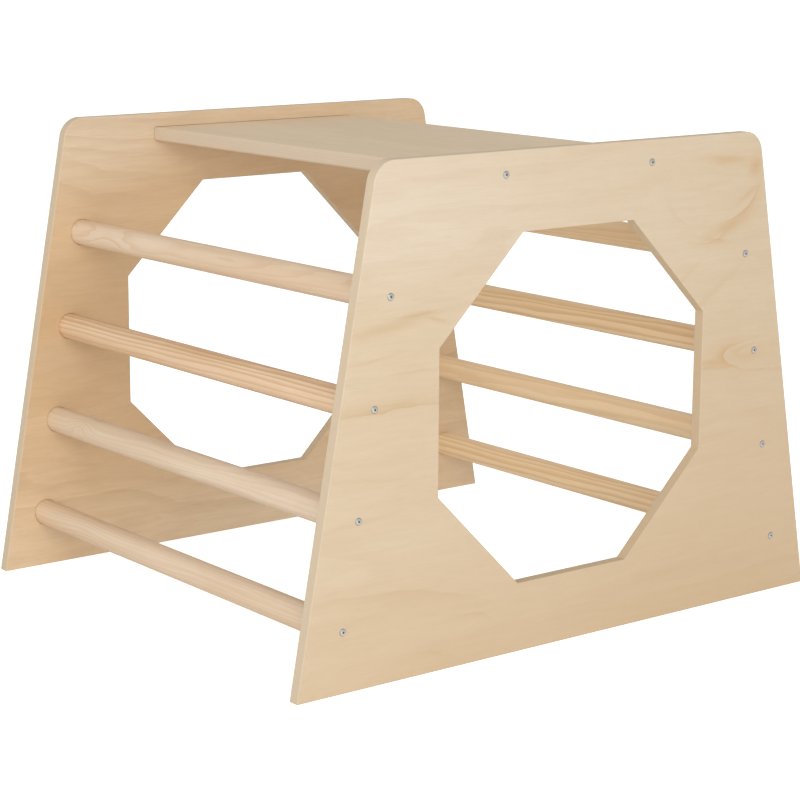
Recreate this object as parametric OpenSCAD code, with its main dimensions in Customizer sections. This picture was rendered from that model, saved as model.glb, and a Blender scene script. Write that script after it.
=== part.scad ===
// Free-standing climbing frame for toddlers. Two upright plywood panels with an
// octagonal crawl-through hole are joined by four round rungs on each sloping side
// and by a platform board near the top. The end of every rung and of the platform
// is let into a shallow housing and drawn tight by wood screws through the panel.
// X runs along the panels, Y from the front panel to the back one, and Z upwards.
// The origin is on the floor at the middle of the base. Sizes are in millimetres.

/* [Panels] */
// Height of the panels
panel_h = 600; // [590:1:660]
// Width of a panel at the floor
base_w = 822; // [800:2:900]
// Width of a panel at its top edge, if its corners were sharp
top_w = 600; // [590:2:660]
// Thickness of the plywood of the panels
panel_t = 15; // [12:1:21]
// Radius of the two top corners of a panel
corner_r = 28; // [10:1:50]
// Clear distance between the two panels
inside_w = 654; // [400:2:900]

/* [Crawl-through hole] */
// Width of the octagonal hole across its flats
hole_w = 420; // [300:5:440]
// Height of the centre of the hole above the floor
hole_z = 295; // [285:1:300]

/* [Rungs] */
// Number of rungs on each side
rung_count = 4; // [1:1:4]
// Diameter of a rung
rung_d = 34; // [25:1:36]
// Height of the top rung's axis above the floor
rung_top_z = 448; // [445:1:460]
// Distance of the top rung's axis from the middle of the frame
rung_top_x = 281; // [275:1:285]
// Height from one rung to the next
rung_pitch = 125; // [110:1:125]
// How much further out each rung stands than the rung above it
rung_step = 22; // [18:1:24]

/* [Platform] */
// Width of the platform board
platform_w = 330; // [260:2:340]
// Thickness of the platform board
platform_t = 18; // [15:1:21]
// Height of the panels' top edge above the platform's top face
platform_drop = 18.5; // [12:0.5:30]
// Radius of the platform's long edges
platform_r = 3; // [1:0.5:6]
// Distance of the platform's screws from the middle of the frame
platform_screw_x = 115; // [60:5:120]

/* [Joints] */
// Depth to which the rungs and the platform are let into a panel
housing_depth = 5; // [3:0.5:7]
// Gap all round a rung or the platform in its housing
housing_gap = 0.4; // [0.1:0.1:0.5]

/* [Screws] */
// Diameter of a screw's head
head_d = 9; // [8:0.5:10]
// Height of the rounded top of the head above its rim
head_rise = 1.2; // [0.8:0.1:1.6]
// Diameter of a screw over its thread
screw_d = 4.5; // [4:0.5:5]
// Length of a screw below the rim of its head
screw_l = 50; // [40:5:60]
// Length of a screw's point
point_l = 6; // [4:1:8]
// Length of the cross recess across the head
recess_l = 4.8; // [4:0.1:5.2]
// Width of each slot of the cross recess
recess_w = 1.1; // [0.9:0.1:1.4]
// Depth of the cross recess below the rim of the head
recess_depth = 1.6; // [1:0.1:1.8]

/* [Hidden] */
$fn = 96;
// How far a cutting solid runs past the face that it cuts
over = 1;
// Slope of a panel's sides, from the vertical
lean = atan((base_w - top_w) / 2 / panel_h);
corner_z = panel_h - corner_r;
corner_x = base_w / 2 - corner_z * tan(lean) - corner_r / cos(lean);
// Inner and outer face of the front panel
inner_y = -inside_w / 2;
outer_y = inner_y - panel_t;
// Length of a rung and of the platform, with both ends in their housings
member_l = inside_w + 2 * housing_depth;
platform_z = panel_h - platform_drop - platform_t / 2;
clearance_d = screw_d + 0.5;
sink_depth = (head_d - screw_d) / 2;
// The pilot holes are a little deeper than the screws reach
pilot_depth = screw_l - (panel_t - housing_depth) + 2;
// Radius of the sphere that the top of a screw's head is a cap of
head_sphere_r = (pow(head_d / 2, 2) + pow(head_rise, 2)) / (2 * head_rise);

ply_face = [0.89, 0.80, 0.68];
ply_board = [0.79, 0.72, 0.62];
rung_wood = [0.86, 0.76, 0.62];
zinc = [0.75, 0.75, 0.73];

SIDES = ["left", "right"];
PANELS = ["front", "back"];
RUNGS = [for (side = SIDES, n = [1:rung_count]) str(side, "_rung_", n)];
PLATFORM_SCREWS = [for (side = SIDES) str(side, "_platform")];

// -1 on the left or front, and 1 on the right or back
function sign_of(name) = (name == "left" || name == "front") ? -1 : 1;

// Where the axis of a rung passes through the panels, as [x, z]; rung 1 is the top one
function rung_at(side, n) = [
    sign_of(side) * (rung_top_x + (n - 1) * rung_step),
    rung_top_z - (n - 1) * rung_pitch
];

function platform_screw_at(side) = [sign_of(side) * platform_screw_x, platform_z];

// Turns a flat outline in X and Z into a solid that runs from y to y + depth
module upright(y, depth) {
    translate([0, y + depth, 0])
        rotate([90, 0, 0])
            linear_extrude(height = depth)
                children();
}

// Places along Y what was made along Z, with its z = 0 end at y
module along_y(at, y) {
    translate([at[0], y, at[1]])
        rotate([-90, 0, 0])
            children();
}

// What is made for the front is mirrored for the back
module on_panel(panel) {
    if (panel == "front") children();
    else mirror([0, 1, 0]) children();
}

module panel_outline() {
    polygon([
        [-base_w / 2, 0],
        [base_w / 2, 0],
        [corner_x + corner_r * cos(lean), corner_z + corner_r * sin(lean)],
        [corner_x, panel_h],
        [-corner_x, panel_h],
        [-corner_x - corner_r * cos(lean), corner_z + corner_r * sin(lean)]
    ]);
    for (side = [-1, 1])
        translate([side * corner_x, corner_z])
            circle(r = corner_r);
}

module crawl_hole() {
    translate([0, hole_z])
        rotate(22.5)
            circle(d = hole_w / cos(22.5), $fn = 8);
}

// A rectangle with rounded corners, centred on the origin
module rounded_bar(w, h, r) {
    square([w - 2 * r, h], center = true);
    square([w, h - 2 * r], center = true);
    for (x = [-1, 1], y = [-1, 1])
        translate([x * (w / 2 - r), y * (h / 2 - r)])
            circle(r = r);
}

module platform_outline(gap) {
    translate([0, platform_z])
        rounded_bar(platform_w + 2 * gap, platform_t + 2 * gap, platform_r + gap);
}

// Clearance hole with its countersink, cut from the outer face inwards
module screw_hole() {
    translate([0, 0, -over])
        cylinder(d = clearance_d, h = panel_t + 2 * over);
    cylinder(d1 = head_d, d2 = screw_d, h = sink_depth);
    translate([0, 0, -over])
        cylinder(d = head_d, h = over);
}

module panel(which) {
    color(ply_face) on_panel(which) difference() {
        upright(outer_y, panel_t) difference() {
            panel_outline();
            crawl_hole();
        }
        upright(inner_y - housing_depth, housing_depth + over)
            platform_outline(housing_gap);
        for (side = SIDES) {
            for (n = [1:rung_count]) {
                along_y(rung_at(side, n), inner_y - housing_depth)
                    cylinder(d = rung_d + 2 * housing_gap, h = housing_depth + over);
                along_y(rung_at(side, n), outer_y) screw_hole();
            }
            along_y(platform_screw_at(side), outer_y) screw_hole();
        }
    }
}

// Pilot holes for the screws in both ends of a rung or of the platform
module pilot_holes(at) {
    for (panel = PANELS)
        on_panel(panel)
            along_y(at, -member_l / 2 - over)
                cylinder(d = screw_d, h = pilot_depth + over);
}

module rung(side, n) {
    color(rung_wood) difference() {
        along_y(rung_at(side, n), -member_l / 2)
            cylinder(d = rung_d, h = member_l);
        pilot_holes(rung_at(side, n));
    }
}

module platform() {
    color(ply_board) difference() {
        upright(-member_l / 2, member_l) platform_outline(0);
        for (side = SIDES)
            pilot_holes(platform_screw_at(side));
    }
}

// One slot of the cross recess, narrowing towards the bottom
module recess_slot() {
    rotate([90, 0, 0])
        linear_extrude(height = recess_w, center = true)
            polygon([
                [-recess_l / 2, -head_rise - over],
                [recess_l / 2, -head_rise - over],
                [recess_l / 4, recess_depth],
                [-recess_l / 4, recess_depth]
            ]);
}

// A wood screw pointing up Z, with the rim of its head at z = 0
module screw() {
    color(zinc) difference() {
        union() {
            intersection() {
                translate([0, 0, head_sphere_r - head_rise])
                    sphere(r = head_sphere_r);
                translate([0, 0, -head_rise - over])
                    cylinder(d = head_d, h = head_rise + over);
            }
            cylinder(d1 = head_d, d2 = screw_d, h = sink_depth);
            cylinder(d = screw_d, h = screw_l - point_l);
            translate([0, 0, screw_l - point_l])
                cylinder(d1 = screw_d, d2 = screw_d / 6, h = point_l);
        }
        for (turn = [0, 90])
            rotate(turn) recess_slot();
    }
}

module panel_screw(panel, at) {
    on_panel(panel) along_y(at, outer_y) screw();
}

platform();
for (which = PANELS)
    panel(which);
for (side = SIDES, n = [1:rung_count])
    rung(side, n);
for (which = PANELS, side = SIDES) {
    for (n = [1:rung_count])
        panel_screw(which, rung_at(side, n));
    panel_screw(which, platform_screw_at(side));
}
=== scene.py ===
import math
import random

import bpy
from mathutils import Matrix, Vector


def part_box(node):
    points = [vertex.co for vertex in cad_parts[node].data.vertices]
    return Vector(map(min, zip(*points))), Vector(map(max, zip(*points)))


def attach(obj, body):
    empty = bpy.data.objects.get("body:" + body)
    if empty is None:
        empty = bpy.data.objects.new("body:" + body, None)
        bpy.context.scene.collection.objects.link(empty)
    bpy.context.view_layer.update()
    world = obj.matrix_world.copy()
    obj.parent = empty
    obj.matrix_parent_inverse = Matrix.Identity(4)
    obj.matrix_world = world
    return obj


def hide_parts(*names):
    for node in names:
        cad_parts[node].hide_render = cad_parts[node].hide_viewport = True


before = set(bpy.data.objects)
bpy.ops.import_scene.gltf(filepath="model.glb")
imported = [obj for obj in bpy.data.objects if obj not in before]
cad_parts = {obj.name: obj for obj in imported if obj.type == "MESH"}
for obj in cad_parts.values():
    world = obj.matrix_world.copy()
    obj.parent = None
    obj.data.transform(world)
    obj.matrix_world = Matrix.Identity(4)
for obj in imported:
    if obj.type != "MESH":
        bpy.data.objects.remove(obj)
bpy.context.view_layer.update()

# ---------------------------------------------------------------- Camera
# A long lens three metres from the frame, off its left front corner and looking
# slightly down, without roll. It aims left of the middle, and a sideways shift
# of the lens brings the frame back into the picture.
view_azimuth = math.radians(-36.7)
view_elevation = math.radians(11.86)
view_distance = 2.962
aim = Vector((-0.098, 0, 0.2511))

towards_camera = Vector((
    math.sin(view_azimuth) * math.cos(view_elevation),
    -math.cos(view_azimuth) * math.cos(view_elevation),
    math.sin(view_elevation),
))
bpy.ops.object.camera_add(location=aim + towards_camera * view_distance)
camera = bpy.context.active_object
camera.rotation_euler = (-towards_camera).to_track_quat("-Z", "Y").to_euler()
camera.data.lens = 103.55
camera.data.shift_x = 0.0767
bpy.context.scene.camera = camera

# ---------------------------------------------------------------- Front panel
# The panel is cut by machine from 15 mm birch plywood: a trapezoid with two
# rounded top corners and an octagonal crawl-through hole, its arrises eased
# with sandpaper. The inner face has shallow housings for the rungs and the
# platform, and the outer face has countersinks for the screws behind them.
sides = ("left", "right")
rung_names = [f"{side}_rung_{number}" for side in sides for number in (1, 2, 3, 4)]
held_pieces = rung_names + [f"{side}_platform" for side in sides]
panel_low, panel_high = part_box("front_panel")
panel_size = panel_high - panel_low
panel_middle = (panel_low + panel_high) / 2
panel_top_w = 0.600
corner_r = 0.028
hole_w = 0.420
hole_z = 0.295
arris_r = 0.0012
housing_depth = 0.005
housing_gap = 0.0004
platform_r = 0.003
screw_clearance_r = 0.0025
sink_r = 0.00465

platform_low, platform_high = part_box("platform")
platform_size = platform_high - platform_low
platform_middle = (platform_low + platform_high) / 2


def select_only(piece):
    """Deselects everything and makes one object the selected and active one."""
    bpy.ops.object.select_all(action="DESELECT")
    piece.select_set(True)
    bpy.context.view_layer.objects.active = piece


def add_block(name, centre, size):
    """A block of that size, to be shaped further, with its place in its mesh."""
    bpy.ops.object.select_all(action="DESELECT")
    bpy.ops.mesh.primitive_cube_add(size=1, location=centre, scale=size)
    bpy.ops.object.transform_apply(location=True, rotation=True, scale=True)
    block = bpy.context.active_object
    block.name = name
    return block


def add_bar(name, centre, radius, length, sides=96, turn=0.0, far_radius=None):
    """A round, tapered or many-sided bar along Y, with its place in its mesh."""
    bpy.ops.object.select_all(action="DESELECT")
    bpy.ops.mesh.primitive_cone_add(
        vertices=sides, radius1=radius, depth=length, location=centre,
        radius2=radius if far_radius is None else far_radius,
    )
    bpy.ops.transform.rotate(value=turn, orient_axis="Z", center_override=centre)
    bpy.ops.transform.rotate(value=math.pi / 2, orient_axis="X", center_override=centre)
    bpy.ops.object.transform_apply(location=True, rotation=True, scale=True)
    bar = bpy.context.active_object
    bar.name = name
    return bar


def select_edges(piece, wanted):
    """Opens edit mode with those edges selected whose two ends satisfy wanted(a, b)."""
    select_only(piece)
    bpy.ops.object.mode_set(mode="EDIT")
    bpy.ops.mesh.select_mode(type="EDGE")
    bpy.ops.mesh.select_all(action="DESELECT")
    bpy.ops.object.mode_set(mode="OBJECT")
    points = piece.data.vertices
    for edge in piece.data.edges:
        a, b = (points[i].co for i in edge.vertices)
        edge.select = wanted(a, b)
    bpy.ops.object.mode_set(mode="EDIT")


def cut_away(piece, cutter):
    """Cuts the cutter's volume out of the piece and removes the cutter."""
    select_only(piece)
    cut = piece.modifiers.new("Cut", "BOOLEAN")
    cut.operation = "DIFFERENCE"
    cut.solver = "EXACT"
    cut.object = cutter
    bpy.ops.object.modifier_apply(modifier=cut.name)
    bpy.data.objects.remove(cutter)


def ease_arrises(piece, radius, segments=3):
    """Rounds every sharp edge of the piece a little, as sanding does."""
    select_only(piece)
    ease = piece.modifiers.new("Ease", "BEVEL")
    ease.width = radius
    ease.segments = segments
    ease.limit_method = "ANGLE"
    ease.angle_limit = math.radians(35)
    bpy.ops.object.modifier_apply(modifier=ease.name)


def blunt_long_edges(piece, radius, segments):
    """Rounds the four edges of a block that run along Y."""
    reach = piece.dimensions.y / 2
    select_edges(piece, lambda a, b: abs(a.y - b.y) > reach)
    bpy.ops.mesh.bevel(offset=radius, segments=segments, affect="EDGES")
    bpy.ops.object.mode_set(mode="OBJECT")


def finish_surface(piece):
    """Smooths round surfaces and keeps flat ones flat."""
    select_only(piece)
    bpy.ops.object.shade_smooth_by_angle(angle=math.radians(40))
    weigh = piece.modifiers.new("Weigh", "WEIGHTED_NORMAL")
    weigh.keep_sharp = True
    bpy.ops.object.modifier_apply(modifier=weigh.name)


front_panel = add_block("front_panel_board", panel_middle, panel_size)
select_edges(front_panel, lambda a, b: min(a.z, b.z) > panel_middle.z)
bpy.ops.transform.resize(
    value=(panel_top_w / panel_size.x, 1, 1), center_override=(0, 0, panel_high.z)
)
bpy.ops.object.mode_set(mode="OBJECT")

# The top corners are blunter than right angles, so their arcs start nearer to them
lean = math.atan((panel_size.x - panel_top_w) / 2 / panel_size.z)
corner_reach = corner_r / math.tan((math.pi / 2 + lean) / 2)
select_edges(
    front_panel,
    lambda a, b: min(a.z, b.z) > panel_middle.z and abs(a.y - b.y) > panel_size.y / 2,
)
bpy.ops.mesh.bevel(offset=corner_reach, segments=24, affect="EDGES")
bpy.ops.object.mode_set(mode="OBJECT")

cut_away(front_panel, add_bar(
    "crawl_hole", Vector((0, panel_middle.y, hole_z)),
    hole_w / 2 / math.cos(math.pi / 8), 3 * panel_size.y, 8, math.pi / 8,
))
ease_arrises(front_panel, arris_r)

platform_housing = add_block(
    "platform_housing",
    Vector((0, panel_high.y, platform_middle.z)),
    (platform_size.x + 2 * housing_gap, 2 * housing_depth, platform_size.z + 2 * housing_gap),
)
blunt_long_edges(platform_housing, platform_r + housing_gap, 8)
cut_away(front_panel, platform_housing)
for rung_name in rung_names:
    low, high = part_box(rung_name)
    cut_away(front_panel, add_bar(
        "rung_housing",
        Vector(((low.x + high.x) / 2, panel_high.y, (low.z + high.z) / 2)),
        (high.x - low.x) / 2 + housing_gap,
        2 * housing_depth,
    ))
for held in held_pieces:
    low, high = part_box(f"front_screw_{held}")
    x = (low.x + high.x) / 2
    z = (low.z + high.z) / 2
    cut_away(front_panel, add_bar(
        "clearance_hole", Vector((x, panel_middle.y, z)), screw_clearance_r,
        2 * panel_size.y, 32,
    ))
    cut_away(front_panel, add_bar(
        "countersink", Vector((x, panel_low.y, z)), 2 * sink_r, 2 * sink_r, 48, 0.0, 0.0
    ))
finish_surface(front_panel)


def feed(tree, node, inputs):
    """Sets a node's inputs, each to a plain value or to the socket that feeds it."""
    for key, value in inputs.items():
        if isinstance(value, bpy.types.NodeSocket):
            tree.links.new(value, node.inputs[key])
        else:
            node.inputs[key].default_value = value


def add_node(tree, kind, inputs=None, **settings):
    """Adds a node with those inputs and settings."""
    node = tree.nodes.new(kind)
    for name, value in settings.items():
        setattr(node, name, value)
    feed(tree, node, inputs or {})
    return node


def sum_of(tree, operation, *values):
    """The result of a Math node."""
    node = add_node(tree, "ShaderNodeMath", dict(enumerate(values)), operation=operation)
    return node.outputs["Value"]


def vector_sum(tree, operation, *values):
    """The vector that comes out of a Vector Math node."""
    node = add_node(
        tree, "ShaderNodeVectorMath", dict(enumerate(values)), operation=operation
    )
    return node.outputs["Vector"]


def noise(tree, vector, scale, detail=2.0, roughness=0.5, distortion=0.0):
    """Noise between 0 and 1, with that many waves to a metre."""
    node = add_node(tree, "ShaderNodeTexNoise", {
        "Vector": vector, "Scale": scale, "Detail": detail,
        "Roughness": roughness, "Distortion": distortion,
    })
    return node.outputs["Fac"]


def fade(tree, value, start, end):
    """0 where the value is at start, 1 where it is at end, and smooth between."""
    node = add_node(
        tree, "ShaderNodeMapRange", {"Value": value, "From Min": start, "From Max": end},
        interpolation_type="SMOOTHSTEP",
    )
    return node.outputs["Result"]


def blend_colour(tree, amount, colour, new_colour, how="MIX"):
    """Mixes a colour with a new one, by that amount."""
    node = add_node(
        tree, "ShaderNodeMix", {0: amount, 6: colour, 7: new_colour},
        data_type="RGBA", blend_type=how,
    )
    return node.outputs[2]


def new_group(name, inputs, outputs):
    """A shader node group, with its input and output nodes."""
    tree = bpy.data.node_groups.new(name, "ShaderNodeTree")
    for label, kind in inputs.items():
        tree.interface.new_socket(label, in_out="INPUT", socket_type=f"NodeSocket{kind}")
    for label in outputs:
        tree.interface.new_socket(label, in_out="OUTPUT", socket_type="NodeSocketFloat")
    given = tree.nodes.new("NodeGroupInput")
    result = tree.nodes.new("NodeGroupOutput")
    return tree, given.outputs, result.inputs


# Fine fibres and short pores. The grain runs along X of the vector.
tree, given, result = new_group("wood_fibre", {"Vector": "Vector"}, ["Fibre", "Pores"])
long_fibre = vector_sum(tree, "MULTIPLY", given["Vector"], (0.02, 1, 1))
short_fibre = vector_sum(tree, "MULTIPLY", given["Vector"], (0.07, 1, 1))
tree.links.new(noise(tree, long_fibre, 420, 5, 0.7), result["Fibre"])
tree.links.new(fade(tree, noise(tree, short_fibre, 900, 1), 0.60, 0.72), result["Pores"])
wood_fibre = tree

# The figure of veneer peeled from a log, drawn out along X of the vector: broad
# clouds, finer wisps, and faint growth rings, which the knife cuts as contours.
tree, given, result = new_group(
    "veneer_figure", {"Vector": "Vector"}, ["Cloud", "Wisp", "Ring"]
)
broad = vector_sum(tree, "MULTIPLY", given["Vector"], (0.25, 1, 1))
drawn = vector_sum(tree, "MULTIPLY", given["Vector"], (0.13, 1, 1))
across = add_node(tree, "ShaderNodeSeparateXYZ", {0: given["Vector"]}).outputs["Z"]
height = sum_of(tree, "MULTIPLY", noise(tree, broad, 6, 2.5, 0.45, 0.3), 8)
height = sum_of(tree, "MULTIPLY_ADD", across, 16, height)
height = sum_of(tree, "MULTIPLY_ADD", noise(tree, drawn, 90, 2), 0.3, height)
height = sum_of(tree, "FRACT", height)
ring = sum_of(
    tree, "MULTIPLY", fade(tree, height, 0.35, 0.94), fade(tree, height, 1.0, 0.95)
)
ring = sum_of(tree, "MULTIPLY", ring, fade(tree, noise(tree, broad, 9, 1), 0.42, 0.62))
tree.links.new(noise(tree, broad, 8, 6, 0.62, 0.7), result["Cloud"])
tree.links.new(noise(tree, drawn, 100, 5, 0.66, 0.9), result["Wisp"])
tree.links.new(ring, result["Ring"])
veneer_figure = tree

# A soft spot in one face: 1 at its centre, and nearly 0 at twice its reach. A
# turn lays it askew.
tree, given, result = new_group(
    "soft_spot",
    {"Vector": "Vector", "Centre": "Vector", "Turn": "Vector", "Reach": "Vector"},
    ["Spot"],
)
spot = add_node(tree, "ShaderNodeMapping", {
    "Vector": given["Vector"], "Location": given["Centre"],
    "Rotation": given["Turn"], "Scale": given["Reach"],
}, vector_type="TEXTURE").outputs["Vector"]
far = add_node(
    tree, "ShaderNodeVectorMath", {0: spot}, operation="LENGTH"
).outputs["Value"]
far = sum_of(tree, "MULTIPLY", sum_of(tree, "MULTIPLY", far, far), -1)
tree.links.new(sum_of(tree, "EXPONENT", far), result["Spot"])
soft_spot = tree

# One growth ring that shows as a loop or an arch: dark at its line, and fading
# away from it over the width, outwards or, if the side is -1, inwards.
tree, given, result = new_group(
    "ring_mark",
    {"Vector": "Vector", "Centre": "Vector", "Reach": "Vector", "Side": "Float",
     "Width": "Float"},
    ["Mark"],
)
loop = add_node(tree, "ShaderNodeMapping", {
    "Vector": given["Vector"], "Location": given["Centre"], "Scale": given["Reach"],
}, vector_type="TEXTURE").outputs["Vector"]
loop = vector_sum(tree, "MULTIPLY", loop, (1, 0, 1))
out = add_node(
    tree, "ShaderNodeVectorMath", {0: loop}, operation="LENGTH"
).outputs["Value"]
out = sum_of(tree, "MULTIPLY", sum_of(tree, "SUBTRACT", out, 1), given["Side"])
out = sum_of(tree, "DIVIDE", out, given["Width"])
faded = sum_of(tree, "EXPONENT", sum_of(tree, "MULTIPLY", sum_of(tree, "MAXIMUM", out, 0), -1))
tree.links.new(sum_of(tree, "MULTIPLY", faded, fade(tree, out, -0.22, 0)), result["Mark"])
ring_mark = tree

# The plies at a cut edge of plywood, whose thickness lies along Y of the vector
# and whose face grain lies along X. The grain of every second ply is crossed.
tree, given, result = new_group(
    "plies",
    {"Vector": "Vector", "Normal": "Vector", "First face": "Float",
     "Ply": "Float", "Last ply": "Float"},
    ["Number", "Crossed", "End grain", "Edge", "Glue"],
)
place = add_node(tree, "ShaderNodeSeparateXYZ", {0: given["Vector"]}).outputs
facing = add_node(tree, "ShaderNodeSeparateXYZ", {0: given["Normal"]}).outputs
depth = sum_of(tree, "SUBTRACT", place["Y"], given["First face"])
depth = sum_of(tree, "DIVIDE", depth, given["Ply"])
number = sum_of(tree, "FLOOR", sum_of(tree, "MAXIMUM", depth, 0))
number = sum_of(tree, "MINIMUM", number, given["Last ply"])
crossed = sum_of(tree, "MODULO", number, 2)
end_along = sum_of(tree, "ABSOLUTE", facing["X"])
end_across = sum_of(tree, "ABSOLUTE", facing["Z"])
end_grain = add_node(
    tree, "ShaderNodeMix", {0: crossed, 2: end_along, 3: end_across}, data_type="FLOAT"
).outputs[0]
edge = fade(tree, sum_of(tree, "ABSOLUTE", facing["Y"]), 0.95, 0.4)
joint = sum_of(tree, "ABSOLUTE", sum_of(tree, "SUBTRACT", depth, sum_of(tree, "ROUND", depth)))
glue = sum_of(tree, "MULTIPLY", fade(tree, joint, 0.13, 0.04), edge)
tree.links.new(number, result["Number"])
tree.links.new(crossed, result["Crossed"])
tree.links.new(end_grain, result["End grain"])
tree.links.new(edge, result["Edge"])
tree.links.new(glue, result["Glue"])
plies = tree


def new_material(name):
    """An empty node material, with its tree and its shader."""
    material = bpy.data.materials.new(name)
    material.use_nodes = True
    shader = material.node_tree.nodes["Principled BSDF"]
    return material, material.node_tree, shader


def use_group(tree, group, inputs):
    """Places a node group with those inputs, and returns its outputs."""
    node = add_node(tree, "ShaderNodeGroup", node_tree=group)
    feed(tree, node, inputs)
    return node.outputs


def add_spots(tree, vector, colour, spots, shown=1.0):
    """Mixes soft spots of other colours into a colour, as strongly as they are shown."""
    for centre, reach, turn, amount, tint in spots:
        spot = use_group(tree, soft_spot, {
            "Vector": vector, "Centre": centre, "Turn": (0, math.radians(turn), 0),
            "Reach": reach,
        })
        strength = sum_of(tree, "MULTIPLY", spot["Spot"], shown)
        colour = blend_colour(tree, sum_of(tree, "MULTIPLY", strength, amount), colour, tint)
    return colour


def plywood(name, axes, first_face, thickness, ply_count, seed, tones, spots, marks,
            edge_spots):
    """Smooth birch plywood. axes names the object's axes along the face grain,
    through the thickness and across the grain, and spots and marks lie in them."""
    material, tree, shader = new_material(name)
    coordinates = add_node(tree, "ShaderNodeTexCoord").outputs
    place = add_node(tree, "ShaderNodeSeparateXYZ", {0: coordinates["Object"]}).outputs
    facing = add_node(tree, "ShaderNodeSeparateXYZ", {0: coordinates["Normal"]}).outputs
    along, through, across = (place[axis] for axis in axes)
    board = add_node(
        tree, "ShaderNodeCombineXYZ", {0: along, 1: through, 2: across}
    ).outputs[0]
    normal = add_node(
        tree, "ShaderNodeCombineXYZ", {i: facing[axis] for i, axis in enumerate(axes)}
    ).outputs[0]
    ply = use_group(tree, plies, {
        "Vector": board, "Normal": normal, "First face": first_face,
        "Ply": thickness / ply_count, "Last ply": ply_count - 1,
    })

    # Each ply is a sheet of its own, and the crossed ones run the other way
    sheet = sum_of(tree, "MULTIPLY_ADD", ply["Number"], 0.31, seed)
    straight = add_node(tree, "ShaderNodeCombineXYZ", {0: along, 1: sheet, 2: across})
    turned = add_node(tree, "ShaderNodeCombineXYZ", {0: across, 1: sheet, 2: along})
    veneer = add_node(
        tree, "ShaderNodeMix",
        {0: ply["Crossed"], 4: straight.outputs[0], 5: turned.outputs[0]},
        data_type="VECTOR",
    ).outputs[1]
    fibre = use_group(tree, wood_fibre, {"Vector": veneer})
    figure = use_group(tree, veneer_figure, {"Vector": veneer})

    colour = blend_colour(tree, fade(tree, figure["Cloud"], 0.3, 0.7), tones["pale"], tones["warm"])
    wavy = sum_of(tree, "MULTIPLY_ADD", noise(tree, veneer, 12, 2), 0.016, -0.008)
    wavy = sum_of(tree, "MULTIPLY_ADD", figure["Wisp"], 0.010, wavy)
    wavy = add_node(tree, "ShaderNodeCombineXYZ", {0: wavy, 2: wavy}).outputs[0]
    wavy = vector_sum(tree, "ADD", board, wavy)
    colour = add_spots(tree, wavy, colour, spots)
    for centre, reach, side, width, seen_at, seen_reach, amount, tint in marks:
        mark = use_group(tree, ring_mark, {
            "Vector": wavy, "Centre": centre, "Reach": reach, "Side": side, "Width": width,
        })
        seen = use_group(tree, soft_spot, {
            "Vector": wavy, "Centre": seen_at, "Reach": seen_reach,
        })
        shown = sum_of(tree, "MULTIPLY", mark["Mark"], seen["Spot"])
        colour = blend_colour(tree, sum_of(tree, "MULTIPLY", shown, amount), colour, tint)
    for value, lightest, darkest, amount in (
        (figure["Wisp"], 0.62, 0.36, tones["wisp"]),
        (fibre["Fibre"], 0.62, 0.30, 0.10),
    ):
        dark = sum_of(tree, "MULTIPLY", fade(tree, value, lightest, darkest), amount)
        colour = blend_colour(tree, dark, colour, tones["late"])
    for value, amount in ((figure["Ring"], tones["ring"]), (fibre["Pores"], 0.10)):
        dark = sum_of(tree, "MULTIPLY", value, amount)
        colour = blend_colour(tree, dark, colour, tones["late"])
    colour = blend_colour(tree, sum_of(tree, "MULTIPLY", ply["Edge"], 0.85), colour, tones["edge"])
    colour = blend_colour(
        tree, sum_of(tree, "MULTIPLY", ply["End grain"], 0.30), colour, tones["end"]
    )
    colour = add_spots(tree, board, colour, edge_spots, ply["Edge"])
    colour = blend_colour(tree, sum_of(tree, "MULTIPLY", ply["Glue"], 0.22), colour, tones["glue"])
    tree.links.new(colour, shader.inputs["Base Color"])

    rough = sum_of(tree, "MULTIPLY_ADD", fibre["Fibre"], 0.12, 0.42)
    rough = sum_of(tree, "MULTIPLY_ADD", ply["End grain"], 0.15, rough)
    tree.links.new(rough, shader.inputs["Roughness"])
    relief = sum_of(tree, "SUBTRACT", fibre["Fibre"], fibre["Pores"])
    relief = sum_of(tree, "SUBTRACT", relief, ply["Glue"])
    bump = add_node(
        tree, "ShaderNodeBump", {"Height": relief, "Distance": 0.0001, "Strength": 0.5}
    )
    tree.links.new(bump.outputs["Normal"], shader.inputs["Normal"])
    return material


panel_plies = 11
outer_y = panel_low.y
veneer_depth = 0.003
cut_edge = {
    "edge": (0.645, 0.53, 0.38, 1),
    "end": (0.56, 0.44, 0.31, 1),
    "glue": (0.42, 0.30, 0.19, 1),
}
front_tones = {
    "pale": (0.81, 0.66, 0.475, 1),
    "warm": (0.775, 0.61, 0.415, 1),
    "late": (0.62, 0.42, 0.23, 1),
    "wisp": 0.105,
    "ring": 0.10,
    **cut_edge,
}
# A tint of painted shade, for the darker lower parts of a face
painted_shade_tint = (0.745, 0.55, 0.34, 1)
tan = (0.66, 0.45, 0.23, 1)
orange = (0.70, 0.44, 0.20, 1)
# A tint of painted light, for the sheen and the brighter parts of a face
painted_light_tint = (0.87, 0.75, 0.60, 1)


def front(x, z):
    """A place in the front panel's outer face."""
    return (x, outer_y, z)


def over(x, z):
    """How far a mark reaches along and across the face, within its veneer."""
    return (x, veneer_depth, z)
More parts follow.
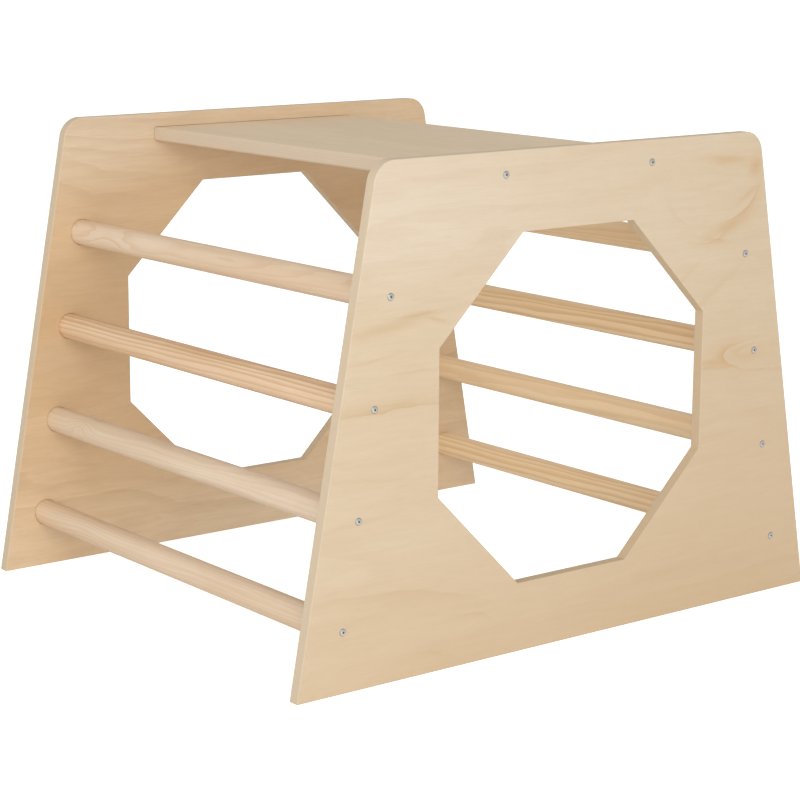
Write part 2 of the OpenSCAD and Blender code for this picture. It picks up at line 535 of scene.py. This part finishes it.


# Centre, reach, turn in degrees, strength and colour. The first three spots are
# painted light: painted shade that deepens the sheet to the lower right and along
# the bottom, and a painted sheen that pales its upper left. The left side has
# streaks of tan.
front_spots = [
    (front(0.300, -0.020), over(0.520, 0.300), 0, 0.90, painted_shade_tint),
    (front(-0.250, 0.000), over(0.250, 0.110), 0, 0.30, painted_shade_tint),
    (front(-0.260, 0.560), over(0.200, 0.110), 0, 0.55, painted_light_tint),
    (front(-0.237, 0.427), over(0.030, 0.0030), -4, 0.70, tan),
    (front(-0.212, 0.420), over(0.020, 0.0022), 8, 0.50, tan),
    (front(-0.285, 0.416), over(0.055, 0.0060), -6, 0.45, tan),
    (front(-0.300, 0.384), over(0.040, 0.0018), -6, 0.30, tan),
    (front(-0.330, 0.450), over(0.030, 0.0015), -6, 0.30, tan),
    (front(-0.240, 0.365), over(0.035, 0.0016), 4, 0.28, tan),
    (front(-0.290, 0.245), over(0.060, 0.0016), 5, 0.25, tan),
    (front(-0.330, 0.200), over(0.045, 0.0022), -4, 0.22, tan),
    (front(0.247, 0.572), over(0.036, 0.0050), 4, 0.50, orange),
    (front(0.298, 0.560), over(0.012, 0.0120), 0, 0.60, orange),
    (front(0.288, 0.528), over(0.020, 0.0040), -28, 0.45, orange),
    (front(0.255, 0.490), over(0.030, 0.0060), -14, 0.50, orange),
    (front(0.232, 0.476), over(0.026, 0.0030), 12, 0.40, orange),
    (front(0.230, 0.318), over(0.022, 0.0050), 0, 0.50, orange),
    (front(0.222, 0.312), over(0.050, 0.0018), 0, 0.42, tan),
    (front(0.300, 0.326), over(0.040, 0.0090), 0, 0.30, orange),
    (front(0.322, 0.302), over(0.030, 0.0016), 6, 0.42, tan),
    (front(0.215, 0.400), over(0.070, 0.0045), -32, 0.22, orange),
    (front(0.170, 0.425), over(0.050, 0.0035), -36, 0.19, orange),
    (front(0.330, 0.250), over(0.040, 0.0025), -4, 0.22, tan),
    (front(0.130, 0.060), over(0.090, 0.0050), -8, 0.18, tan),
]
# Centre, reach, side, width, where it shows, how far, strength and colour: the
# flame at the upper right, the loop round a knot, and the arches lower down.
front_marks = [
    (front(0.232, 0.548), over(0.074, 0.053), 1, 0.13,
     front(0.290, 0.508), over(0.045, 0.030), 0.75, orange),
    (front(0.215, 0.520), over(0.052, 0.047), 1, 0.10,
     front(0.238, 0.474), over(0.034, 0.014), 0.55, orange),
    (front(0.200, 0.560), over(0.060, 0.062), 1, 0.08,
     front(0.160, 0.510), over(0.040, 0.020), 0.18, tan),
    (front(0.321, 0.326), over(0.070, 0.019), 1, 0.20,
     front(0.262, 0.326), over(0.038, 0.024), 0.90, orange),
    (front(0.325, 0.330), over(0.046, 0.009), 1, 0.25,
     front(0.290, 0.336), over(0.018, 0.010), 0.60, tan),
    (front(-0.280, 0.026), over(0.600, 0.300), 1, 0.030,
     front(-0.275, 0.330), over(0.090, 0.030), 0.70, tan),
    (front(-0.345, -0.183), over(0.420, 0.300), -1, 0.040,
     front(-0.250, 0.100), over(0.120, 0.040), 0.36, tan),
    (front(-0.300, 0.034), over(0.197, 0.044), -1, 0.08,
     front(-0.150, 0.066), over(0.045, 0.020), 0.34, tan),
    (front(-0.330, 0.012), over(0.152, 0.028), -1, 0.10,
     front(-0.205, 0.030), over(0.040, 0.018), 0.28, tan),
]
# The cut edge round the hole is deeper and warmer than the outer edges, in both panels:
# partly burn from the cutter, partly painted warm light bounced inside the hole
hole_edge = [((0, 0, hole_z), (0.250, 1, 0.250), 0, 1.0, (0.66, 0.47, 0.26, 1))]
front_plywood = plywood(
    "front_plywood", "XYZ", panel_low.y, panel_size.y, panel_plies, 1.7,
    front_tones, front_spots, front_marks, hole_edge,
)
front_panel.data.materials.clear()
front_panel.data.materials.append(front_plywood)
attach(front_panel, "root")
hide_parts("front_panel")

# ---------------------------------------------------------------- Back panel
# The same as the front panel, turned round so that the housings face inwards. Its
# inner face is warmer than the front panel's, partly a sheet of its own and partly
# painted warm light bounced between the panels, with more figure in it.
back_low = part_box("back_panel")[0]


def copy_of(piece, name):
    """A copy of a piece with a mesh of its own, selected on its own."""
    select_only(piece)
    bpy.ops.object.duplicate(linked=False)
    twin = bpy.context.active_object
    twin.name = name
    return twin


back_panel = copy_of(front_panel, "back_panel_board")
back_panel.parent = None
back_panel.rotation_euler = (0, 0, math.pi)
bpy.ops.object.transform_apply(location=True, rotation=True, scale=True)

inner_y = back_low.y
# Warmer than the front panel's tones: partly the wood's own, partly painted warm bounce light
back_tones = {
    "pale": (0.82, 0.61, 0.385, 1),
    "warm": (0.765, 0.535, 0.31, 1),
    "late": (0.52, 0.32, 0.16, 1),
    "wisp": 0.14,
    "ring": 0.20,
    **cut_edge,
}
umber = (0.62, 0.41, 0.22, 1)
cream = (0.92, 0.76, 0.55, 1)
# Listed as for the front panel. The pale patch along the top is painted light, and
# the round umber patch among the left rung ends is painted shade of the rungs. The
# cream patch along the foot isn't a tone of the wood: it stands in for light off the
# floor, of which the studio gives too little.
back_spots = [
    # Painted light along the top of the inner face
    ((-0.200, inner_y, 0.620), over(0.350, 0.100), 0, 0.50, painted_light_tint),
    ((0.060, inner_y, 0.010), over(0.320, 0.090), 0, 0.85, cream),
    # Painted shade round the left rung ends
    ((-0.265, inner_y, 0.340), over(0.110, 0.110), 0, 0.50, umber),
    ((-0.200, inner_y, 0.500), over(0.130, 0.020), -8, 0.20, umber),
    ((-0.290, inner_y, 0.410), over(0.060, 0.005), -10, 0.18, umber),
]
back_marks = [
    ((-0.270, inner_y, 0.262), over(0.060, 0.016), 1, 0.30,
     (-0.245, inner_y, 0.265), over(0.040, 0.025), 0.30, umber),
    ((-0.230, inner_y, 0.235), over(0.050, 0.020), -1, 0.20,
     (-0.240, inner_y, 0.250), over(0.040, 0.020), 0.25, umber),
    ((-0.180, inner_y, 0.060), over(0.110, 0.035), -1, 0.15,
     (-0.180, inner_y, 0.092), over(0.080, 0.020), 0.12, umber),
]
back_plywood = plywood(
    "back_plywood", "XYZ", back_low.y, panel_size.y, panel_plies, 6.4,
    back_tones, back_spots, back_marks, hole_edge,
)
back_panel.data.materials.clear()
back_panel.data.materials.append(back_plywood)
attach(back_panel, "root")
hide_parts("back_panel")

# ---------------------------------------------------------------- Platform
# A board of 18 mm birch plywood with rounded long edges. Its ends stand in the
# panels' housings, and it has pilot holes for two screws in each end.
platform_plies = 13
pilot_r = 0.0022
pilot_depth = 0.042

platform = add_block("platform_board", platform_middle, platform_size)
blunt_long_edges(platform, platform_r, 8)
for side in sides:
    for panel in ("front", "back"):
        low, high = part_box(f"{panel}_screw_{side}_platform")
        end_y = platform_low.y if panel == "front" else platform_high.y
        cut_away(platform, add_bar(
            "pilot_hole", Vector(((low.x + high.x) / 2, end_y, (low.z + high.z) / 2)),
            pilot_r, 2 * pilot_depth, 24,
        ))
finish_surface(platform)

platform_tones = dict(
    front_tones, pale=(0.80, 0.63, 0.42, 1), warm=(0.755, 0.58, 0.37, 1),
    edge=(0.69, 0.57, 0.43, 1), wisp=0.20,
)
platform_plywood = plywood(
    "platform_plywood", "YZX", platform_low.z, platform_size.z, platform_plies, 11.2,
    platform_tones, [], [], [],
)
platform.data.materials.append(platform_plywood)
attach(platform, "root")
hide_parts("platform")

# ---------------------------------------------------------------- Rungs
# Eight round wooden rungs, sanded smooth and let into the panels at both ends. Three
# are a pale wood with a soft figure, and five show the growth rings as stripes.
rung_low, rung_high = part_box("left_rung_1")
rung_middle = (rung_low + rung_high) / 2
rung_r = (rung_high.z - rung_low.z) / 2
rung_arris_r = 0.001

first_rung = add_bar("rung", rung_middle, rung_r, rung_high.y - rung_low.y)
ease_arrises(first_rung, rung_arris_r)
for end_y in (rung_low.y, rung_high.y):
    cut_away(first_rung, add_bar(
        "pilot_hole", Vector((rung_middle.x, end_y, rung_middle.z)),
        pilot_r, 2 * pilot_depth, 24,
    ))
finish_surface(first_rung)

# Growth rings round the pith, which lies beside the rung. The grain runs along X
# of the vector. Late wood darkens slowly across a ring and ends at a sharp line.
tree, given, result = new_group(
    "growth_rings",
    {"Vector": "Vector", "Pith": "Vector", "Spacing": "Float", "Wander": "Float",
     "Swell": "Float"},
    ["Late"],
)
drawn_out = vector_sum(tree, "MULTIPLY", given["Vector"], (0.12, 1, 1))
from_pith = vector_sum(tree, "SUBTRACT", given["Vector"], given["Pith"])
from_pith = vector_sum(tree, "MULTIPLY", from_pith, (0, 1, 1))
radius = add_node(
    tree, "ShaderNodeVectorMath", {0: from_pith}, operation="LENGTH"
).outputs["Value"]
radius = sum_of(
    tree, "MULTIPLY_ADD", noise(tree, drawn_out, 28, 2.5, 0.5), given["Wander"], radius
)
radius = sum_of(tree, "DIVIDE", radius, given["Spacing"])
radius = sum_of(tree, "ADD", radius, given["Swell"])
uneven = add_node(
    tree, "ShaderNodeTexNoise", {"W": radius, "Scale": 0.8, "Detail": 1},
    noise_dimensions="1D",
).outputs["Fac"]
radius = sum_of(tree, "MULTIPLY_ADD", uneven, 0.9, radius)
part = sum_of(tree, "FRACT", radius)
late = sum_of(tree, "MULTIPLY", fade(tree, part, 0.2, 0.9), fade(tree, part, 1.0, 0.92))
tree.links.new(late, result["Late"])
growth_rings = tree


def rung_wood(name, centre, roll, tilt, pith, spacing, wander, show, tones, ring_patches):
    """The wood of one rung. roll and tilt turn its grain, and pith is where the
    middle of the tree lies. Ring patches are places along and across the rung
    where the rings swell and show more: knots, and bands of painted shade."""
    material, tree, shader = new_material(name)
    place = add_node(tree, "ShaderNodeTexCoord").outputs["Object"]
    grain = add_node(tree, "ShaderNodeMapping", {
        "Vector": place, "Location": centre,
        "Rotation": (math.radians(roll), math.radians(tilt), math.pi / 2),
    }, vector_type="TEXTURE").outputs["Vector"]
    own = vector_sum(tree, "ADD", grain, (centre.z * 9, centre.x * 9, 3))
    lift = 0.0
    strength = show
    for spot, reach, turns, more in ring_patches:
        ring_spot = use_group(tree, soft_spot, {
            "Vector": place, "Centre": centre + Vector(spot), "Reach": reach,
        })
        lift = sum_of(tree, "MULTIPLY_ADD", ring_spot["Spot"], turns, lift)
        strength = sum_of(tree, "MULTIPLY_ADD", ring_spot["Spot"], more, strength)
    rings = use_group(tree, growth_rings, {
        "Vector": grain, "Pith": pith, "Spacing": spacing, "Wander": wander, "Swell": lift,
    })
    fibre = use_group(tree, wood_fibre, {"Vector": own})
    long_clouds = vector_sum(tree, "MULTIPLY", own, (0.06, 1, 1))
    long_clouds = fade(tree, noise(tree, long_clouds, 30, 2, 0.5, 0.3), 0.36, 0.64)
    clouds = vector_sum(tree, "MULTIPLY", own, (0.3, 1, 1))
    clouds = fade(tree, noise(tree, clouds, 42, 4, 0.55, 0.8), 0.3, 0.7)
    colour = blend_colour(tree, long_clouds, tones["pale"], tones["warm"])
    colour = blend_colour(tree, sum_of(tree, "MULTIPLY", clouds, 0.35), colour, tones["warm"])
    colour = blend_colour(
        tree, sum_of(tree, "MULTIPLY", rings["Late"], strength), colour, tones["late"]
    )
    fine = sum_of(tree, "MULTIPLY", fade(tree, fibre["Fibre"], 0.62, 0.3), 0.12)
    colour = blend_colour(tree, fine, colour, tones["late"])
    colour = blend_colour(tree, sum_of(tree, "MULTIPLY", fibre["Pores"], 0.10), colour, tones["late"])
    tree.links.new(colour, shader.inputs["Base Color"])
    rough = sum_of(tree, "MULTIPLY_ADD", fibre["Fibre"], 0.12, 0.44)
    tree.links.new(rough, shader.inputs["Roughness"])
    relief = sum_of(tree, "SUBTRACT", fibre["Fibre"], fibre["Pores"])
    bump = add_node(
        tree, "ShaderNodeBump", {"Height": relief, "Distance": 0.0001, "Strength": 0.5}
    )
    tree.links.new(bump.outputs["Normal"], shader.inputs["Normal"])
    return material


pale_wood = {
    "pale": (0.79, 0.64, 0.48, 1),
    "warm": (0.735, 0.57, 0.40, 1),
    "late": (0.56, 0.36, 0.21, 1),
}
pink_wood = {
    "pale": (0.79, 0.625, 0.46, 1),
    "warm": (0.73, 0.54, 0.365, 1),
    "late": (0.60, 0.38, 0.20, 1),
}
striped_wood = {
    "pale": (0.82, 0.60, 0.40, 1),
    "warm": (0.73, 0.49, 0.29, 1),
    "late": (0.52, 0.29, 0.13, 1),
}
# Paler than the wood itself, to stand in for light that the studio doesn't give
# the right rungs
yellow_wood = {
    "pale": (0.94, 0.75, 0.50, 1),
    "warm": (0.885, 0.67, 0.415, 1),
    "late": (0.64, 0.39, 0.17, 1),
}
# Wood, roll, tilt, pith, ring spacing, wander, ring strength, ring patches (knots, and painted
# shade)
rung_grain = {
    "left_rung_1": (pink_wood, 20, 1.4, (0, 0.045, 0.012), 0.0060, 0.036, 0.30,
                    [((0, 0.235, 0), (0.03, 0.050, 0.02), 2.6, 0.30)]),
    # Its one patch is no knot: stronger late wood along the top, painted shade on its upper
    # side
    "left_rung_2": (striped_wood, 95, 0.5, (0, 0.040, 0.006), 0.0062, 0.012, 0.42,
                    [((0, 0, 0.013), (0.03, 0.60, 0.008), 0.0, 0.30)]),
    "left_rung_3": (pale_wood, 60, 1.2, (0, 0.045, 0.020), 0.0066, 0.032, 0.22,
                    [((-0.015, 0.243, 0.004), (0.02, 0.022, 0.008), 2.4, 0.30)]),
    "left_rung_4": (pink_wood, 100, 0.8, (0, 0.060, 0.010), 0.0050, 0.020, 0.24,
                    [((0, 0.20, 0), (0.03, 0.05, 0.03), 1.5, 0.12)]),
    "right_rung_1": (yellow_wood, 40, 1.0, (0, 0.040, 0.000), 0.0070, 0.020, 0.30, []),
    "right_rung_2": (yellow_wood, 80, 0.9, (0, 0.038, 0.008), 0.0085, 0.022, 0.55, []),
    "right_rung_3": (yellow_wood, 110, 1.7, (0, 0.034, 0.010), 0.0090, 0.026, 0.26, []),
    "right_rung_4": (yellow_wood, 90, 0.7, (0, 0.042, 0.005), 0.0080, 0.016, 0.46, []),
}
for rung_name, (wood, *grain) in rung_grain.items():
    low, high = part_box(rung_name)
    centre = (low + high) / 2
    rung = copy_of(first_rung, f"{rung_name}_bar")
    rung.location = centre - rung_middle
    bpy.ops.object.transform_apply(location=True, rotation=True, scale=True)
    roll, tilt, pith, spacing, wander, show, ring_patches = grain
    rung.data.materials.append(rung_wood(
        f"{rung_name}_wood", centre, roll, tilt, pith, spacing, wander, show, wood, ring_patches
    ))
    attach(rung, "root")
    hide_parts(rung_name)
bpy.data.objects.remove(first_rung)

# ---------------------------------------------------------------- Screws
# Zinc-plated wood screws with raised countersunk heads and a cross recess, driven
# through the panels into the ends of the rungs and of the platform.
screw_low, screw_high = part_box("front_screw_left_rung_1")
screw_length = screw_high.y - screw_low.y
head_r = (screw_high.z - screw_low.z) / 2
head_rise = outer_y - screw_low.y
shank_r = 0.00225
core_r = 0.0016
point_length = 0.006
recess_length = 0.0048
recess_width = 0.0011
recess_depth = 0.0016
recess_overrun = 0.002
rim_land = 0.00025
neck_taper = 0.0002
thread_pitch = 0.0021
dome_r = (head_r ** 2 + head_rise ** 2) / (2 * head_rise)

# Half of the screw's outline, as distance below the rim and distance from the axis
outline = [(-head_rise, 0.0)]
for step in range(1, 7):
    angle = math.asin(head_r / dome_r) * step / 6
    outline.append((dome_r - head_rise - dome_r * math.cos(angle), dome_r * math.sin(angle)))
outline.append((rim_land, head_r))
outline.append((head_r - shank_r + neck_taper, shank_r))
thread_start = 0.016
thread_end = screw_length - head_rise - point_length
outline.append((thread_start, shank_r))
rows_per_turn = 6
rows = round((thread_end - thread_start) / thread_pitch * rows_per_turn)
for row in range(1, rows + 1):
    outline.append((thread_start + (thread_end - thread_start) * row / rows, shank_r))
outline.append((thread_end + point_length * 0.5, shank_r * 0.6))
outline.append((screw_length - head_rise, 0.0))

bpy.ops.object.select_all(action="DESELECT")
bpy.ops.mesh.primitive_plane_add(size=1)
screw = bpy.context.active_object
screw.name = "screw"
bpy.ops.object.mode_set(mode="EDIT")
bpy.ops.mesh.select_mode(type="VERT")
bpy.ops.mesh.select_all(action="SELECT")
bpy.ops.mesh.merge(type="CENTER")
bpy.ops.transform.translate(value=(0, outline[0][0], 0))
for (y, r), (next_y, next_r) in zip(outline, outline[1:]):
    bpy.ops.mesh.extrude_region_move(
        TRANSFORM_OT_translate={"value": (next_r - r, next_y - y, 0)}
    )
bpy.ops.mesh.select_all(action="SELECT")
bpy.ops.mesh.spin(
    steps=32, angle=2 * math.pi, center=(0, 0, 0), axis=(0, 1, 0), dupli=False
)
bpy.ops.mesh.select_all(action="SELECT")
bpy.ops.mesh.remove_doubles(threshold=0.000005)
bpy.ops.mesh.normals_make_consistent(inside=False)
bpy.ops.object.mode_set(mode="OBJECT")

# The thread is a ridge that winds round the core
for point in screw.data.vertices:
    y = point.co.y
    if thread_start < y <= thread_end + 0.0001:
        turn = math.atan2(point.co.z, point.co.x) / (2 * math.pi)
        ridge = abs(((y / thread_pitch + turn) % 1) * 2 - 1) ** 2
        radius = core_r + (shank_r - core_r) * ridge
        point.co.x *= radius / shank_r
        point.co.z *= radius / shank_r

cutter_depth = head_rise + recess_depth + recess_overrun
for turn in (0, math.pi / 2):
    slot_cutter = add_block("recess", Vector((0, 0, 0)), Vector((
        recess_length, cutter_depth, recess_width
    )))
    select_edges(slot_cutter, lambda a, b: min(a.y, b.y) > 0)
    bpy.ops.transform.resize(value=(0.5, 1, 0.6), center_override=(0, 0, 0))
    bpy.ops.object.mode_set(mode="OBJECT")
    slot_cutter.location.y = recess_depth - cutter_depth / 2
    slot_cutter.rotation_euler.y = turn
    select_only(slot_cutter)
    bpy.ops.object.transform_apply(location=True, rotation=True, scale=True)
    cut_away(screw, slot_cutter)
finish_surface(screw)

material, tree, shader = new_material("bright_zinc")
place = add_node(tree, "ShaderNodeTexCoord").outputs["Object"]
from_middle = add_node(tree, "ShaderNodeSeparateXYZ", {0: place}).outputs["Y"]
from_middle = sum_of(tree, "ABSOLUTE", from_middle)
# The cross recess and the rim of the head are darkened to near black: painted shade
painted_recess_shade = fade(tree, from_middle, -outer_y + 0.0008, -outer_y - 0.0004)
mottle = noise(tree, place, 700, 3)
zinc = blend_colour(tree, mottle, (0.72, 0.70, 0.67, 1), (0.96, 0.95, 0.92, 1))
zinc = blend_colour(tree, painted_recess_shade, zinc, (0.10, 0.09, 0.08, 1))
tree.links.new(zinc, shader.inputs["Base Color"])
tree.links.new(sum_of(tree, "MULTIPLY_ADD", mottle, 0.14, 0.22), shader.inputs["Roughness"])
shader.inputs["Metallic"].default_value = 1
screw.data.materials.append(material)

random.seed(5)
for panel in ("front", "back"):
    for held in held_pieces:
        node = f"{panel}_screw_{held}"
        low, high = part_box(node)
        fixing = copy_of(screw, f"{node}_fixing")
        facing_back = math.pi if panel == "back" else 0
        rim_y = outer_y if panel == "front" else -outer_y
        fixing.rotation_euler.y = random.uniform(0, math.pi)
        bpy.ops.object.transform_apply(location=True, rotation=True, scale=True)
        fixing.rotation_euler.z = facing_back
        fixing.location = ((low.x + high.x) / 2, rim_y, (low.z + high.z) / 2)
        bpy.ops.object.transform_apply(location=True, rotation=True, scale=True)
        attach(fixing, "root")
        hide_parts(node)
bpy.data.objects.remove(screw)

# ---------------------------------------------------------------- Studio
# A wide white floor that glows a little, three soft boxes (at the front, at the
# left and overhead), and a white surround that fills the shadows. Floor and
# surround look brighter to the camera than the light they give.
bpy.ops.object.select_all(action="DESELECT")
bpy.ops.mesh.primitive_plane_add(size=60)
floor = bpy.context.active_object
floor.name = "floor"
material, tree, shader = new_material("white_floor")
shader.inputs["Base Color"].default_value = (0.82, 0.82, 0.82, 1)
shader.inputs["Roughness"].default_value = 0.9
shader.inputs["Emission Color"].default_value = (1, 1, 1, 1)
seen = add_node(tree, "ShaderNodeLightPath").outputs["Is Camera Ray"]
glow = sum_of(tree, "MULTIPLY_ADD", seen, 0.65, 0.10)
tree.links.new(glow, shader.inputs["Emission Strength"])
floor.data.materials.append(material)

world = bpy.data.worlds.new("studio")
world.use_nodes = True
bpy.context.scene.world = world
tree = world.node_tree
seen = add_node(tree, "ShaderNodeLightPath").outputs["Is Camera Ray"]
brightness = sum_of(tree, "MULTIPLY_ADD", seen, 0.44, 0.56)
background = tree.nodes["Background"]
background.inputs["Color"].default_value = (1, 1, 1, 1)
tree.links.new(brightness, background.inputs["Strength"])


def soft_light(name, place, target, size, power):
    """A square soft box that points at the target."""
    aim_down = (Vector(target) - Vector(place)).to_track_quat("-Z", "Y").to_euler()
    bpy.ops.object.light_add(type="AREA", location=place, rotation=aim_down)
    light = bpy.context.active_object
    light.name = name
    light.data.size = size
    light.data.energy = power


soft_light("front_light", (-1.6, -3.2, 1.5), (0, 0, 0.3), 1.8, 38)
soft_light("left_light", (-3.2, -0.7, 1.2), (0, 0, 0.3), 2.2, 29)
soft_light("top_light", (0.4, 0.6, 3.2), (0, 0, 0.5), 2.0, 8)
bpy.context.scene.view_settings.view_transform = "Standard"
